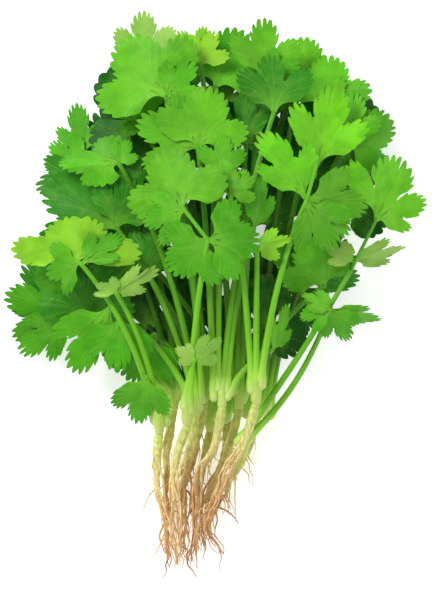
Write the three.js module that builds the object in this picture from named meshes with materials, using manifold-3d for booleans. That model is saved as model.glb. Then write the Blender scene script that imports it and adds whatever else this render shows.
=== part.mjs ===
// A bunch of coriander, lying on its side: twelve whole plants, each with a tap root, a pale
// crown and long stalks that end in compound leaves of lobed and toothed leaflets.
// Millimetres. +Z is up, +Y runs from the roots to the leaves, and z = 0 is the surface it lies on.
// The plants lie in twelve levels, one above the other, so that none runs through another.
import * as THREE from 'three';
import Module from 'manifold-3d';

const wasm = await Module();
wasm.setup();

// Driving dimensions.
const BLADE_THICKNESS = 0.8;
const BLADE_FOOT_HALF = 0.9; // half width of a leaflet where it joins its stalk
const BLADE_SINK = 1.4; // how far a leaflet's foot runs back into its stalk
const STALK_RADII = [2.4, 1.6];
const STALK_SIDES = 4;
const STALK_STEPS = 6;
const FOOT_PITCH = 2.1; // between the feet of a plant's stalks, which leave the crown side by side
const STALK_ROOM = 2.7; // height kept for stalks under the leaves of the same plant
const STALK_BOW = [0.3, 0.62]; // where a stalk bends: shares of its way across and along
const RISE_FROM = 0.8; // the share of a stalk after which it rises to its leaflets
const RISE_LENGTH = 0.2;
const STEMLET_RADII = [1.0, 0.8];
const STEMLET_SIDES = 4;
const CROWN_RADII = [2.1, 3.2, 3.4, 2.8];
const CROWN_LENGTH = 17;
const FOOT_HEIGHT = 9; // where the stalks leave the crown
const CROWN_SIDES = 6;
const ROOT_RADII = [2.7, 2.6, 2.1, 1.5, 0.9];
const ROOT_SIDES = 6;
const ROOTLETS = 2;
const ROOTLET_SIDES = 3;
const ROOTLET_STEPS = 2;
const ROOTLET_RADII = [0.6, 0.4];
const COLLAR_GAP = 0.3; // between a crown and its root
const TOOTH_CUT = 0.17; // depth of the notch between two teeth, as a share of its radius
const LOBE_ROUNDING = 0.2; // how much shorter a lobe is at its edges
const FLANK_TURN = 0.66; // the hollow side of a leaflet's foot: its direction over its first tooth's
const FLANK_RADIUS = 0.33;
const RIB_TURN = 0.6; // ribs leave the foot closer to the midrib than they end
const RIB_RADIUS = 0.8; // how far out a rib bends, over the radius of the cuts

// The bunch's thickness: it is thickest in the leaves and thins to the root tips and the sides.
const ROOT_THICKNESS = 20;
const LEAF_THICKNESS = 54;
const THICKEST_Y = 50;
const THICK_REACH = 100;
const SIDE_REACH = 105;
const SIDE_THINNING = 0.45;
const SWELL = 3.5; // height of the slow waves that the levels share
const SWELL_X = 17;
const SWELL_Y = 21;

// Room for each plant: a limb claims height in its plant's level, over a spread on both sides.
const NECK_SPREAD = 4.8;
const SPREAD_GROWTH = 0.1; // more spread for each millimetre from the neck to the leaves
const NECK_Y = -60;
const BLADE_SPREAD = 13;
const FOOT_REACH = 5; // the distance over which a leaflet leaves its hub's height
const LEAST_SHARE = 0.03;
const LEAST_ROOM = 0.05;
const STALK_ROOM_SHARE = 0.8; // at most, of half the level's height
const CLEARANCE = 0.22; // kept inside each level's top and bottom
const SLIVER = 0.02; // faces thinner than this are smoothed away after fusing

// Leaf forms. A lobe is [direction from the midrib, half width, reach, teeth], in degrees and as
// a share of the form's length; sinus is the radius of the cut between two lobes. The trefoil is
// a whole compound leaf of three leaflets that spring from one point, with straight ribs.
const FORMS = {
  fan: { lobes: [[-37, 16, 0.86, 3], [0, 17, 1, 3], [37, 16, 0.86, 3]], sinus: 0.56 },
  round: { lobes: [[-52, 21, 0.84, 3], [0, 27, 1, 4], [52, 21, 0.84, 3]], sinus: 0.68 },
  wide: { lobes: [[-62, 25, 0.86, 3], [0, 31, 1, 4], [62, 25, 0.86, 3]], sinus: 0.66 },
  slim: { lobes: [[-32, 13, 0.76, 2], [0, 15, 1, 3], [32, 13, 0.76, 2]], sinus: 0.56 },
  cut: {
    lobes: [[-72, 13, 0.52, 2], [-34, 17, 0.8, 3], [10, 25, 1, 4], [55, 14, 0.85, 2]],
    sinus: 0.38,
  },
  plain: { lobes: [[-38, 17, 0.84, 2], [0, 17, 1, 2], [38, 17, 0.84, 2]], sinus: 0.62 },
  trefoil: { lobes: [[-95, 36, 0.9, 3], [0, 36, 1, 3], [95, 36, 0.9, 3]], sinus: 0.17, straight: true },
};

// The plants from the lowest to the topmost. Each has its crown's [x, y] and the [x, y] points that
// its tap root runs through. Each frond has the hub where its stalk ends, and its leaflets as
// [dx, dy from the hub, heading, pitch, roll, length, form]. A heading is seen from above,
// anticlockwise from +X; pitch lifts the tip, and roll lifts the side left of the heading.
// A frond's bow, where it is given, replaces STALK_BOW.
const PLANTS = [
  { crown: [6, -64], root: [[4, -84], [-4, -102], [-7, -128]], fronds: [] },
  { crown: [-3, -70], root: [[-6.5, -88], [-11, -108], [-12, -136]], fronds: [] },
  { crown: [-21.5, -60], root: [[-25, -82], [-24.5, -106], [-25.5, -132]], fronds: [
    { hub: [-48, 63], leaflets: [[0, 0, 102, -6, 0, 36, 'wide']] },
    { hub: [-69, 63], leaflets: [
      [2, 6, 97, -6, 4, 27, 'slim'], [0, 0, 140, -8, 6, 21, 'fan'], [-1, -3, 200, -8, 6, 24, 'plain']] },
    { hub: [-75, -12], leaflets: [
      [0, 0, 126, -4, 8, 38, 'fan'], [0, 0, 158, -6, 4, 36, 'fan'], [0, -2, 213, -8, 0, 31, 'slim']] },
    { hub: [-66, -15.5], leaflets: [[0, 0, 84, -6, 0, 31, 'wide']] }] },
  { crown: [20, -67], root: [[14, -83], [4, -97], [-3, -115]], fronds: [
    { hub: [42, 102], leaflets: [[0, 0, 84, -6, 0, 28, 'round']] },
    { hub: [54, 92], leaflets: [[0, 0, 80, -6, 0, 31, 'round'], [0, 0, 12, -8, 0, 22, 'plain']] },
    { hub: [65, 74], leaflets: [[0, 0, 27, -8, 0, 30, 'round'], [0, 0, 78, -8, 4, 28, 'fan']] },
    { hub: [42.5, 3], leaflets: [[0, 0, 84, -6, 0, 29, 'fan'], [0, 0, 50, -8, 0, 37, 'fan']] }] },
  { crown: [-6, -56], root: [[-10, -76], [-15.5, -98], [-15, -131]], fronds: [
    { hub: [-37, 114], leaflets: [[0, 0, 88, -6, 2, 29, 'fan']] },
    { hub: [-31.5, 88], leaflets: [[0, 0, 168, -8, 4, 23, 'fan'], [0, 0, 124, -8, 4, 27, 'plain']] },
    { hub: [0, 103], leaflets: [[0, 0, 65, -6, 0, 35, 'round']] },
    { hub: [-37.5, 11.5], leaflets: [[0, 0, 122, -8, 4, 30, 'round'], [0, 0, 62, -8, 0, 25, 'plain']] },
    { hub: [-31, -22], leaflets: [[0, 0, 236, -6, 0, 29, 'round']] }] },
  { crown: [11.5, -59], root: [[6, -80], [-1, -100], [-5, -116], [3, -132]], fronds: [
    { hub: [-8, 114], leaflets: [[0, 0, 126, -8, 6, 23, 'fan'], [0, 0, 64, -8, -6, 20, 'plain']] },
    { hub: [23.5, 107.5], leaflets: [[0, 0, 86, -6, 2, 32, 'fan'], [1, 0, 24, -8, -6, 20, 'plain']] },
    { hub: [15, 74], leaflets: [[0, 0, 94, -8, 0, 28, 'slim']] },
    { hub: [54, 3], leaflets: [[0, 0, 112, -6, 0, 29, 'round']] }] },
  { crown: [-10, -63], root: [[-14, -84], [-18, -104], [-17, -134]], fronds: [
    { hub: [-50, 32], leaflets: [[0, 0, 139, -6, 8, 47, 'round'], [0, 0, 74, -6, 0, 30, 'plain']] },
    { hub: [-48.5, 64], leaflets: [[0, 0, 170, -6, 60, 32, 'wide'], [0, 0, 62, -8, 20, 15, 'plain']] },
    { hub: [-53, -8], leaflets: [[0, 0, 240, -8, 4, 43, 'slim'], [5, -5, 268, -8, 4, 31, 'plain']] },
    { hub: [-25, 97.5], leaflets: [[0, 0, 126, -8, 6, 41, 'round'], [1, 0, 52, -8, -10, 23, 'plain']] }] },
  { crown: [3, -58], root: [[-1, -78], [-10, -95], [-10, -131]], fronds: [
    { hub: [-9, 72], leaflets: [[0, 0, 155, -6, 6, 37, 'fan'], [0, 0, 80, -6, -4, 33, 'round']] },
    { hub: [2.5, 59.5], leaflets: [[0, 0, 88, -6, 0, 21, 'plain']] },
    { hub: [29, 89.5], leaflets: [[0, 0, 92, -8, 2, 33, 'fan']] },
    { hub: [19, 31.5], leaflets: [[0, 0, 73, -2, 52, 30, 'slim']] },
    { hub: [28.5, -29], leaflets: [[0, 0, 66, -6, 52, 25, 'slim']] }] },
  { crown: [13, -84], root: [[7, -94], [-1, -103], [-6, -115]], fronds: [
    { hub: [67.5, 10.5], bow: [0.53, 0.47], leaflets: [
      [13, 26, 60, -6, 4, 37, 'cut'], [1, 5, 8, -4, 62, 31, 'slim'], [1, 5, 150, -6, 44, 18, 'plain']] },
    { hub: [57, -9], bow: [0.66, 0.36], leaflets: [
      [0, 0, -18, -10, 58, 28, 'slim'], [0, 0, -62, -10, 20, 20, 'fan'],
      [0, 0, 192, -10, 20, 18, 'fan'], [0, 0, 145, -4, 50, 18, 'plain']] }] },
  { crown: [-28.5, -71], root: [[-30, -86], [-28, -108], [-23, -139]], fronds: [
    { hub: [-68, 14.5], leaflets: [
      [-2, 1, 92, -46, 4, 41, 'wide'], [-1, 0, 200, -30, 10, 24, 'plain'],
      [2, 0, 40, -14, -30, 25, 'slim']] },
    { hub: [-50, -0.5], leaflets: [[0, 0, 24, -6, 62, 25, 'plain'], [0, 0, 150, -30, 40, 15, 'plain']] },
    { hub: [-35, -43], leaflets: [[0, 0, 260, -12, 4, 27, 'fan']] }] },
  { crown: [20, -56], root: [[14, -75], [4, -91], [-1, -112]], fronds: [
    { hub: [45, 45], leaflets: [
      [5, 18, 76, -8, 0, 47, 'slim'], [-1, 2, 113, -4, 30, 41, 'slim'], [1, 1, -4, -10, -6, 33, 'fan'],
      [0, -1, -60, -8, 4, 30, 'fan']] },
    { hub: [7, 48], leaflets: [[0, 0, 97, -6, 10, 19, 'fan'], [0, 0, 38, -8, -6, 17, 'plain']] },
    { hub: [20.5, 21.5], leaflets: [[0, 0, 12, -2, 42, 19, 'plain']] }] },
  { crown: [-14.5, -67], root: [[-20.5, -86], [-21.5, -106], [-20, -137]], fronds: [
    { hub: [-4, 25.5], leaflets: [
      [-13, 17, 108, -6, 4, 33, 'wide'], [-12, 15, 196, -16, 10, 25, 'fan'],
      [-1, 0, 222, -14, -6, 28, 'round'], [1, 0, 0, -8, -8, 29, 'round']] },
    { hub: [-11, -34], leaflets: [[0, 0, 32, -4, 46, 19, 'fan'], [0, 0, 152, -8, -30, 12, 'plain']] }] },
];

// Trefoils under the other leaves, as [plant, x, y]. Those of plant 0 are pressed flat on the
// surface that the bunch lies on.
const UNDER_TREFOILS = [
  [3, -40, 86], [1, -18, 97], [3, 5, 97], [1, 36, 92], [1, 60, 76], [0, 64, 45], [0, 38, 64],
  [1, 12, 75], [0, -13, 65], [1, -41, 58], [3, -60, 36], [0, -68, 4], [1, -45, 13], [0, -22, 36],
  [1, 28, 34], [1, 36, 3], [1, -34, -17], [0, -12, -14], [3, 23, -17],
];
const UNDER_LENGTH = 28;

const rad = THREE.MathUtils.degToRad;
const { lerp } = THREE.MathUtils;

// A repeatable random draw between -1 and 1.
function drawFrom(seed) {
  let state = seed >>> 0;
  return () => {
    state = (state + 0x6d2b79f5) >>> 0;
    let t = Math.imul(state ^ (state >>> 15), 1 | state);
    t = (t + Math.imul(t ^ (t >>> 7), 61 | t)) ^ t;
    return ((t ^ (t >>> 14)) >>> 0) / 2147483648 - 1;
  };
}

function addUnderFronds() {
  const draw = drawFrom(5);
  UNDER_TREFOILS.forEach(([level, x, y]) => {
    const plant = PLANTS[level];
    const away = THREE.MathUtils.radToDeg(Math.atan2(y - plant.crown[1], x - plant.crown[0]));
    const length = UNDER_LENGTH * (1 + 0.1 * draw());
    const heading = away + 15 * draw();
    plant.fronds.push({ hub: [x, y], leaflets: [[0, 0, heading, -4, 8 * draw(), length, 'trefoil']] });
  });
}

// Where a stalk runs, seen from above.
function stalkPlan(plant, frond) {
  const bearing = ({ hub: [x, y] }) => Math.atan2(y - plant.crown[1], x - plant.crown[0]);
  const order = plant.fronds.filter((other) => bearing(other) > bearing(frond)).length;
  const shift = (order - (plant.fronds.length - 1) / 2) * FOOT_PITCH;
  const foot = new THREE.Vector2(plant.crown[0] + shift, plant.crown[1] + FOOT_HEIGHT);
  const hub = new THREE.Vector2(...frond.hub);
  const [across, along] = frond.bow ?? STALK_BOW;
  const bend = new THREE.Vector2(lerp(foot.x, hub.x, across), lerp(foot.y, hub.y, along));
  return new THREE.QuadraticBezierCurve(foot, bend, hub);
}

function leafletFoot(frond, [dx, dy, heading]) {
  return new THREE.Vector2(
    frond.hub[0] + dx - BLADE_SINK * Math.cos(rad(heading)),
    frond.hub[1] + dy - BLADE_SINK * Math.sin(rad(heading)),
  );
}

// The straight limbs that claim room along a route, as [from, to, spread].
function limbsAlong(points) {
  const spreadAt = (p) => NECK_SPREAD + SPREAD_GROWTH * Math.max(0, p.y - NECK_Y);
  return points.slice(1).map((p, i) => [points[i], p, spreadAt(p)]);
}

function leafletLimb(frond, [dx, dy, heading, pitch, , length]) {
  const foot = new THREE.Vector2(frond.hub[0] + dx, frond.hub[1] + dy);
  const reach = length * Math.cos(rad(pitch));
  const tip = new THREE.Vector2(Math.cos(rad(heading)), Math.sin(rad(heading)))
    .multiplyScalar(reach).add(foot);
  return [foot, tip, BLADE_SPREAD];
}

function frondLimbs(plant, frond) {
  const blades = frond.leaflets.map((row) => leafletLimb(frond, row));
  return [...limbsAlong(stalkPlan(plant, frond).getPoints(4)), ...blades];
}

function rootLimbs(plant) {
  const route = [[plant.crown[0], plant.crown[1] + CROWN_LENGTH], plant.crown, ...plant.root];
  return limbsAlong(route.map((p) => new THREE.Vector2(...p)));
}

function distanceTo([from, to], x, y) {
  const along = new THREE.Vector2().subVectors(to, from);
  const share = ((x - from.x) * along.x + (y - from.y) * along.y) / along.lengthSq();
  const t = THREE.MathUtils.clamp(share, 0, 1);
  return Math.hypot(x - from.x - t * along.x, y - from.y - t * along.y);
}

function bunchThickness(x, y) {
  const leafy = LEAF_THICKNESS * Math.exp(-(((y - THICKEST_Y) / THICK_REACH) ** 2));
  const flat = (ROOT_THICKNESS + leafy) * (1 - SIDE_THINNING * (x / SIDE_REACH) ** 2);
  const swell = SWELL * Math.sin(x / SWELL_X + 1) * Math.sin(y / SWELL_Y);
  return flat + (swell * leafy) / LEAF_THICKNESS;
}

addUnderFronds();
const FROND_LIMBS = PLANTS.map((plant) => plant.fronds.map((frond) => frondLimbs(plant, frond)));
const PLANT_LIMBS = PLANTS.map((plant, level) => [...FROND_LIMBS[level].flat(), ...rootLimbs(plant)]);

// Shares a height out among neighbours by the claims that their limbs make at a place, and gives
// the middle and half height of one of them.
function shareOf(claims, index, height, x, y) {
  const shares = claims.map((limbs) => {
    const free = limbs.reduce((left, limb) =>
      left * (1 - Math.exp(-0.5 * (distanceTo(limb, x, y) / limb[2]) ** 2)), 1);
    return LEAST_SHARE + 1 - free;
  });
  const sum = (list) => list.reduce((total, share) => total + share, 0);
  const unit = height / sum(shares);
  const half = (unit * shares[index]) / 2;
  return { middle: unit * sum(shares.slice(0, index)) + half, half };
}

// The level of a plant at a place.
function levelAt(level, x, y) {
  return shareOf(PLANT_LIMBS, level, bunchThickness(x, y), x, y);
}

// The shelf of one frond inside its plant's level, above the stalks.
function shelfAt(level, frond, x, y) {
  const outer = levelAt(level, x, y);
  const room = outer.half - CLEARANCE;
  const lowest = Math.min(STALK_ROOM, STALK_ROOM_SHARE * room);
  const index = PLANTS[level].fronds.indexOf(frond);
  const inner = shareOf(FROND_LIMBS[level], index, 2 * room - lowest, x, y);
  return { middle: outer.middle - room + lowest + inner.middle, half: inner.half };
}

// The part of its frond's shelf that a leaflet has where its neighbours lie over or under it.
function trayAt(shelf, frond, row, x, y) {
  const claims = frond.leaflets.map((other) => [leafletLimb(frond, other)]);
  const inner = shareOf(claims, frond.leaflets.indexOf(row), 2 * shelf.half, x, y);
  return { middle: shelf.middle - shelf.half + inner.middle, half: inner.half };
}

function solid(points, faces) {
  return new wasm.Manifold(new wasm.Mesh({
    numProp: 3,
    vertProperties: new Float32Array(points.flat()),
    triVerts: new Uint32Array(faces.flat()),
  }));
}

// A closed tube through rings of corners.
function loft(rings) {
  const sides = rings[0].length;
  const faces = [];
  for (let i = 0; i + 1 < rings.length; i++) {
    for (let k = 0; k < sides; k++) {
      const a = i * sides + k;
      const b = i * sides + ((k + 1) % sides);
      faces.push([a, b, b + sides], [a, b + sides, a + sides]);
    }
  }
  const last = (rings.length - 1) * sides;
  for (let k = 1; k < sides - 1; k++) {
    faces.push([0, k + 1, k], [last, last + k, last + k + 1]);
  }
  return solid(rings.flat(), faces);
}

// A ring of corners round a point of a plan route, kept inside the plant's level. A stalk lies
// low in its level and rises at its end to the middle of its frond's shelf.
function ring(level, at, heading, radius, sides, frond, rise = 0) {
  const centre = levelAt(level, at.x, at.y);
  const fit = Math.min(radius, centre.half - CLEARANCE);
  const low = level === 0 ? fit : centre.middle - centre.half + CLEARANCE + fit;
  const lying = frond || level === 0 ? low : centre.middle;
  const risen = rise > 0 && level > 0 ? shelfAt(level, frond, at.x, at.y).middle : lying;
  const height = lerp(lying, risen, rise);
  const across = new THREE.Vector2(-Math.sin(heading), Math.cos(heading));
  return Array.from({ length: sides }, (_, k) => {
    const turn = (2 * Math.PI * (k + 0.5)) / sides;
    const x = at.x + fit * across.x * Math.cos(turn);
    const y = at.y + fit * across.y * Math.cos(turn);
    const here = levelAt(level, x, y);
    const room = here.half - CLEARANCE;
    const z = height + fit * Math.sin(turn);
    const floor = level === 0 ? 0 : here.middle - room;
    return [x, y, THREE.MathUtils.clamp(z, floor, here.middle + room)];
  });
}

// A tapered tube over a plan curve.
function tube(level, plan, radii, sides, steps, frond, riseFrom = 0) {
  const rings = [];
  for (let i = 0; i <= steps; i++) {
    const t = i / steps;
    const heading = plan.getTangent(t).angle();
    const rise = frond ? THREE.MathUtils.smoothstep(t, riseFrom, riseFrom + RISE_LENGTH) : 0;
    rings.push(ring(level, plan.getPoint(t), heading, lerp(...radii, t), sides, frond, rise));
  }
  return loft(rings);
}

function crown(level) {
  const [x, y] = PLANTS[level].crown;
  return loft(CROWN_RADII.map((radius, i) => {
    const at = new THREE.Vector2(x, y + (i * CROWN_LENGTH) / (CROWN_RADII.length - 1));
    return ring(level, at, Math.PI / 2, radius, CROWN_SIDES);
  }));
}

// The leaflet's edge from its right side round to its left, as [direction, radius, lobe]; the
// cut between two lobes has no lobe of its own.
function leafletEdge(form, draw) {
  const edge = [];
  form.lobes.forEach(([middle, half, reach, teeth], lobe) => {
    if (lobe > 0) {
      const [before, beforeHalf] = form.lobes[lobe - 1];
      edge.push([(before + beforeHalf + middle - half) / 2, form.sinus]);
    }
    const longer = reach * (1 + 0.05 * draw());
    for (let k = 0; k < 2 * teeth - 1; k++) {
      const share = (k + 1) / teeth - 1;
      const cut = k % 2 ? 1 - TOOTH_CUT : 1;
      edge.push([middle + half * share, longer * cut * (1 - LOBE_ROUNDING * share * share), lobe]);
    }
  });
  if (form.straight) return edge;
  const flank = ([direction, , lobe]) => [FLANK_TURN * direction, FLANK_RADIUS, lobe];
  return [flank(edge[0]), ...edge, flank(edge[edge.length - 1])];
}

// Bends a flat leaflet point: the midrib arches down, the sides cup, and the margin waves.
function bend(direction, radius, length, sway) {
  const x = radius * length * Math.cos(rad(direction));
  const y = radius * length * Math.sin(rad(direction));
  const arch = 0.01 + 0.004 * sway;
  const wave = 0.035 * length * radius ** 2 * Math.sin(rad(4 * direction + 160 * sway));
  return new THREE.Vector3(
    Math.sin(arch * x) / arch,
    y,
    -(1 - Math.cos(arch * x)) / arch + (0.09 * sway * y * y) / length + wave,
  );
}

// Triangles of one face of a leaflet: a fan for each lobe round its rib, and the strips between
// the ribs and the foot. The rim's corners come first, then a rib point for each lobe.
function leafletFaces(edge, lobes) {
  const last = edge.length + 1;
  const rib = (lobe) => last + 1 + lobe;
  const faces = [[rib(0), 0, 1]];
  let lobe = 0;
  for (let i = 1; i < last; i++) {
    if (edge[i - 1][2] === undefined) {
      faces.push([rib(lobe), i, rib(lobe + 1)]);
      lobe += 1;
    }
    faces.push([rib(lobe), i, i + 1]);
  }
  for (let i = 0; i + 1 < lobes; i++) faces.push([0, rib(i), rib(i + 1)]);
  faces.push([0, rib(lobes - 1), last]);
  return faces;
}

// Averages the face normals at each corner.
function cornerNormals(points, faces) {
  const normals = points.map(() => new THREE.Vector3());
  faces.forEach((face) => {
    const [a, b, c] = face.map((i) => points[i]);
    const normal = new THREE.Vector3().subVectors(b, a).cross(new THREE.Vector3().subVectors(c, a));
    face.forEach((i) => normals[i].add(normal));
  });
  return normals.map((normal) => normal.normalize());
}

// One leaflet: a thin waved blade, split into the same triangles on both faces.
function leaflet(level, frond, row, seed) {
  const [, , heading, pitch, roll, length, name] = row;
  const draw = drawFrom(seed);
  const sway = draw();
  const form = FORMS[name];
  const edge = leafletEdge(form, draw);
  const foot = leafletFoot(frond, row);
  const turn = new THREE.Matrix4().makeRotationZ(rad(heading))
    .multiply(new THREE.Matrix4().makeRotationY(rad(-pitch)))
    .multiply(new THREE.Matrix4().makeRotationX(rad(roll)));
  const half = BLADE_THICKNESS / 2;
  const flat = [
    [-90, BLADE_FOOT_HALF / length], ...edge, [90, BLADE_FOOT_HALF / length],
    ...form.lobes.map(([direction, , reach]) =>
      form.straight ? [direction, 0.5 * reach] : [RIB_TURN * direction, RIB_RADIUS * form.sinus]),
  ];
  const middle = flat.map(([direction, radius]) => {
    const p = bend(direction, radius, length, sway).applyMatrix4(turn);
    const shelf = shelfAt(level, frond, foot.x + p.x, foot.y + p.y);
    const tray = trayAt(shelf, frond, row, foot.x + p.x, foot.y + p.y);
    const room = Math.max(tray.half - half, LEAST_ROOM);
    const base = lerp(shelf.middle, tray.middle, Math.min(1, (radius * length) / FOOT_REACH));
    const z = level === 0 ? half : base + room * Math.tanh(p.z / room);
    return new THREE.Vector3(foot.x + p.x, foot.y + p.y, z);
  });
  const faces = leafletFaces(edge, form.lobes.length);
  const normals = cornerNormals(middle, faces);
  const shifted = (side) =>
    middle.map((p, i) => p.clone().addScaledVector(normals[i], side * half).toArray());
  const count = middle.length;
  const rim = edge.length + 2;
  const all = faces.flatMap(([a, b, c]) => [[a, b, c], [a + count, c + count, b + count]]);
  for (let i = 0; i < rim; i++) {
    const next = (i + 1) % rim;
    all.push([i, i + count, next + count], [i, next + count, next]);
  }
  return solid([...shifted(1), ...shifted(-1)], all);
}

// A short thin stalk from a frond's hub to a leaflet that stands off it.
function stemlet(level, frond, [dx, dy]) {
  const hub = new THREE.Vector2(...frond.hub);
  const foot = new THREE.Vector2(frond.hub[0] + dx, frond.hub[1] + dy);
  return tube(level, new THREE.LineCurve(hub, foot), STEMLET_RADII, STEMLET_SIDES, 2, frond, -1);
}

// Fuses solids into one body, without sealed hollows or loose scraps.
function fuse(solids) {
  const bodies = wasm.Manifold.union(solids).simplify(SLIVER).decompose();
  return bodies.reduce((best, body) => (body.volume() > best.volume() ? body : best));
}

function shoot(level) {
  const plant = PLANTS[level];
  const solids = [crown(level)];
  plant.fronds.forEach((frond, i) => {
    const plan = stalkPlan(plant, frond);
    solids.push(tube(level, plan, STALK_RADII, STALK_SIDES, STALK_STEPS, frond, RISE_FROM));
    frond.leaflets.forEach((row, k) => {
      if (Math.hypot(row[0], row[1]) > 3) solids.push(stemlet(level, frond, row));
      solids.push(leaflet(level, frond, row, 1000 * level + 10 * i + k));
    });
  });
  return fuse(solids);
}

function root(level) {
  const plant = PLANTS[level];
  const draw = drawFrom(70 + level);
  const top = new THREE.Vector2(plant.crown[0], plant.crown[1] - COLLAR_GAP);
  const route = new THREE.SplineCurve([top, ...plant.root.map((p) => new THREE.Vector2(...p))]);
  const rings = ROOT_RADII.map((radius, i) =>
    ring(level, route.getPoint(i / (ROOT_RADII.length - 1)), Math.PI / 2, radius, ROOT_SIDES).reverse());
  const solids = [loft(rings)];
  for (let i = 0; i < ROOTLETS; i++) {
    const from = route.getPoint(0.4 + 0.25 * i);
    const out = new THREE.Vector2(5 * draw(), -13 - 5 * draw());
    const to = from.clone().add(out);
    const kink = from.clone().addScaledVector(out, 0.5).add(new THREE.Vector2(2.5 * draw(), 0));
    const plan = new THREE.QuadraticBezierCurve(from, kink, to);
    solids.push(tube(level, plan, ROOTLET_RADII, ROOTLET_SIDES, ROOTLET_STEPS));
  }
  return fuse(solids);
}

function mesh(name, body, colour, roughness) {
  const { vertProperties, triVerts } = body.getMesh();
  const geometry = new THREE.BufferGeometry();
  geometry.setAttribute('position', new THREE.BufferAttribute(vertProperties, 3));
  geometry.setIndex(new THREE.BufferAttribute(triVerts, 1));
  const material = new THREE.MeshStandardMaterial({ color: colour, roughness, metalness: 0 });
  const piece = new THREE.Mesh(geometry, material);
  piece.name = name;
  return piece;
}

const bunch = new THREE.Group();
PLANTS.forEach((_, level) => {
  const number = String(level + 1).padStart(2, '0');
  bunch.add(mesh(`plant_${number}_shoot`, shoot(level), 0x63b52a, 0.5));
  bunch.add(mesh(`plant_${number}_root`, root(level), 0xcba06b, 0.8));
});

// The origin is on the surface, under the middle of the bunch.
const middle = new THREE.Box3().setFromObject(bunch).getCenter(new THREE.Vector3());
bunch.position.set(-middle.x, -middle.y, 0);

export default bunch;
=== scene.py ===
"""A bunch of fresh coriander, lying on its side, with whole plants from root tip to leaf.

The CAD model gives each plant one plain shoot and one plain root. This script lays the same stalks,
leaflets and roots out again on the same levels, with finer edges, surfaces and colours.
Lengths are in millimetres up to the making of a mesh, and angles are in degrees.
"""
import math

import bpy
import numpy as np
from mathutils import Euler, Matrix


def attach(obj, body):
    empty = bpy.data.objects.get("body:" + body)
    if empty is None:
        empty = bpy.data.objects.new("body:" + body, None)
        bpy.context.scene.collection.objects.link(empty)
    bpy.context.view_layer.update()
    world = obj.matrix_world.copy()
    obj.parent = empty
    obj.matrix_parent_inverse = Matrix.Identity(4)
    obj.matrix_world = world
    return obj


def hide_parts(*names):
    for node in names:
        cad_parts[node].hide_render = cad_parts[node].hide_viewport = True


MM = 0.001

# ---- The layout, as in the CAD model
# Leaf forms: lobes as (direction, half width, reach, teeth), and the radius of the cuts between.
FORMS = {
    "fan": ([(-37, 16, 0.86, 3), (0, 17, 1, 3), (37, 16, 0.86, 3)], 0.56),
    "round": ([(-52, 21, 0.84, 3), (0, 27, 1, 4), (52, 21, 0.84, 3)], 0.68),
    "wide": ([(-62, 25, 0.86, 3), (0, 31, 1, 4), (62, 25, 0.86, 3)], 0.66),
    "slim": ([(-32, 13, 0.76, 2), (0, 15, 1, 3), (32, 13, 0.76, 2)], 0.56),
    "cut": ([(-72, 13, 0.52, 2), (-34, 17, 0.8, 3), (10, 25, 1, 4), (55, 14, 0.85, 2)], 0.38),
    "plain": ([(-38, 17, 0.84, 2), (0, 17, 1, 2), (38, 17, 0.84, 2)], 0.62),
    "trefoil": ([(-95, 36, 0.9, 3), (0, 36, 1, 3), (95, 36, 0.9, 3)], 0.17),
}
STALK_BOW = (0.3, 0.62)


def frond(hub, *leaflets, bow=STALK_BOW):
    """A stalk to its hub, and leaflets as (dx, dy, heading, pitch, roll, length, form, tone).

    A leaflet that starts at the hub leaves out dx and dy, which are then 0.
    """
    rows = [(0, 0, *row)[-8:] for row in leaflets]
    return {"hub": np.array(hub, float), "bow": np.array(bow), "leaflets": rows}


def plant(crown, root, *fronds):
    return {"crown": crown, "root": root, "fronds": list(fronds)}


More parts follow.
